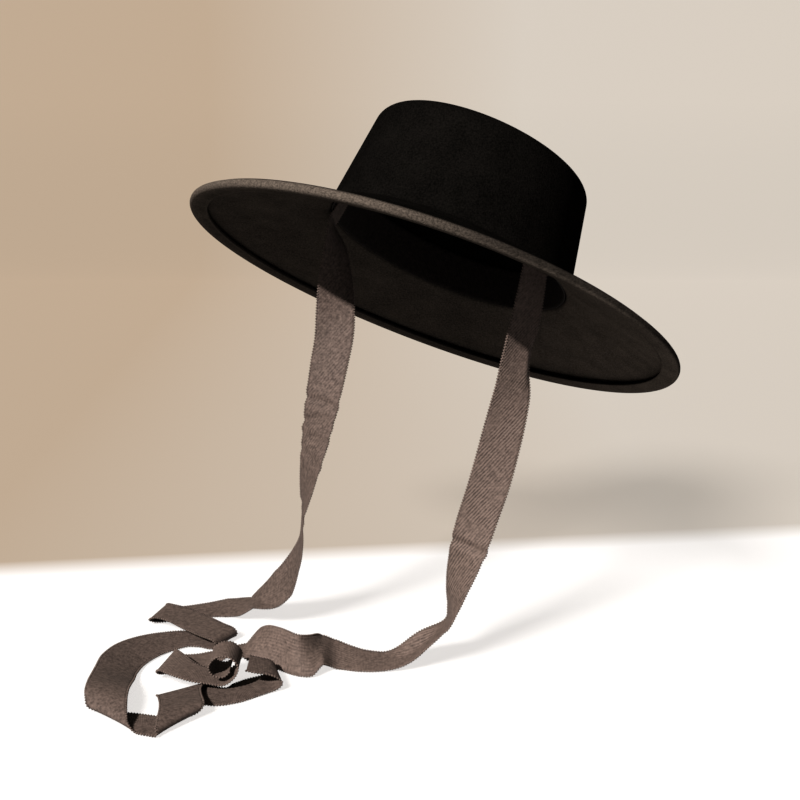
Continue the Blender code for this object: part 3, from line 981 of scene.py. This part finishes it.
def make_floor_finish():
    finish, tree, shader = new_finish("pale_floor")
    across, deep, _ = parts_of(tree, object_place(tree))
    back = reckon(tree, "SUBTRACT", deep, reckon(tree, "MULTIPLY", across, EDGE_SLANT))
    behind = grade(tree, back, FLOOR_EDGE - EDGE_SOFTNESS, FLOOR_EDGE + EDGE_SOFTNESS)
    side = grade(tree, across, *WALL_SHADE_ACROSS)
    wall = tone(tree, side, WALL_LEFT_TONE_AND_SHADE, WALL_RIGHT_TONE_AND_SHADE, low=0.0, high=1.0)
    even = reckon(tree, "DIVIDE", -sun_direction()[1], facing(tree, sun_direction()))
    wall = add_node(tree, "ShaderNodeVectorMath", [(0, wall), ("Scale", even)],
                    operation="SCALE").outputs[0]
    colour = blend(tree, behind, (*FLOOR_TONE, 1), wall)
    set_surface(tree, shader, colour, roughness=1.0, gloss=0.0)
    return finish


# %% Floor
BEND_START = 1.7         # far enough back for a look from behind the hat
BEND_RADIUS = 0.3
FLOOR_FRONT = -2.2
FLOOR_SIDE = 2.5
WALL_TOP = 1.9


def make_floor():
    profile = [(FLOOR_FRONT, -DROP), (BEND_START, -DROP)]
    for degrees in range(10, 91, 10):
        point = polar(BEND_RADIUS, degrees - 90)
        profile.append((BEND_START + point.x, BEND_RADIUS - DROP + point.y))
    profile.append((BEND_START + BEND_RADIUS, WALL_TOP))
    points = [(x, y, z) for y, z in profile for x in (-FLOOR_SIDE, FLOOR_SIDE)]
    faces = [(2 * k, 2 * k + 1, 2 * k + 3, 2 * k + 2) for k in range(len(profile) - 1)]
    mesh = bpy.data.meshes.new("floor")
    mesh.from_pydata(points, [], faces)
    mesh.shade_smooth()
    mesh.materials.append(make_floor_finish())
    floor = link(bpy.data.objects.new("floor", mesh))
    return floor


floor = make_floor()
print("floor:", len(floor.data.polygons), "faces")

# %% [markdown]
# Sun from the front left throws the brim's shadow on the upper ends of the ties. It is hard
# light, and on a white floor it would draw a second hat in black. So light linking keeps it
# to the hat, and two lights of their own reach the floor: one that casts wide soft shadows
# and one that casts none. A pale glow from all round fills the rest.

# %% Lights
SUN_STRENGTH = 18.0
SUN_TONE = (1.0, 0.98, 0.95)
HARD, SOFT = 1.5, 14.0   # degrees that a sun measures across
SOFT_SHARE = 0.3         # share of the floor's light that casts shadows
GLOW_STRENGTH = 0.22
GLOW_TONE = (1.0, 0.97, 0.93)


def add_sun(name, strength, angle, receivers, shadow=True):
    """A sun that reaches only the receivers."""
    data = bpy.data.lights.new(name, "SUN")
    data.energy = strength
    data.color = SUN_TONE
    data.angle = math.radians(angle)
    data.use_shadow = shadow
    sun = link(bpy.data.objects.new(name, data))
    sun.rotation_euler = Vector(sun_direction()).to_track_quat("Z", "Y").to_euler()
    lit = bpy.data.collections.new(name + "_receivers")
    for thing in receivers:
        lit.objects.link(thing)
    sun.light_linking.receiver_collection = lit


hat_pieces = [thing for thing in bpy.context.scene.objects
              if thing.type == "MESH" and thing != floor]
add_sun("hat_sun", SUN_STRENGTH, HARD, hat_pieces)
add_sun("floor_soft", SUN_STRENGTH * SOFT_SHARE, SOFT, [floor])
add_sun("floor_fill", SUN_STRENGTH * (1 - SOFT_SHARE), HARD, [floor], False)
world = bpy.data.worlds.new("pale_glow")
world.use_nodes = True
glow = world.node_tree.nodes["Background"]
glow.inputs["Color"].default_value = (*GLOW_TONE, 1)
glow.inputs["Strength"].default_value = GLOW_STRENGTH
bpy.context.scene.world = world
print("the hat's sun reaches", len(hat_pieces), "meshes")
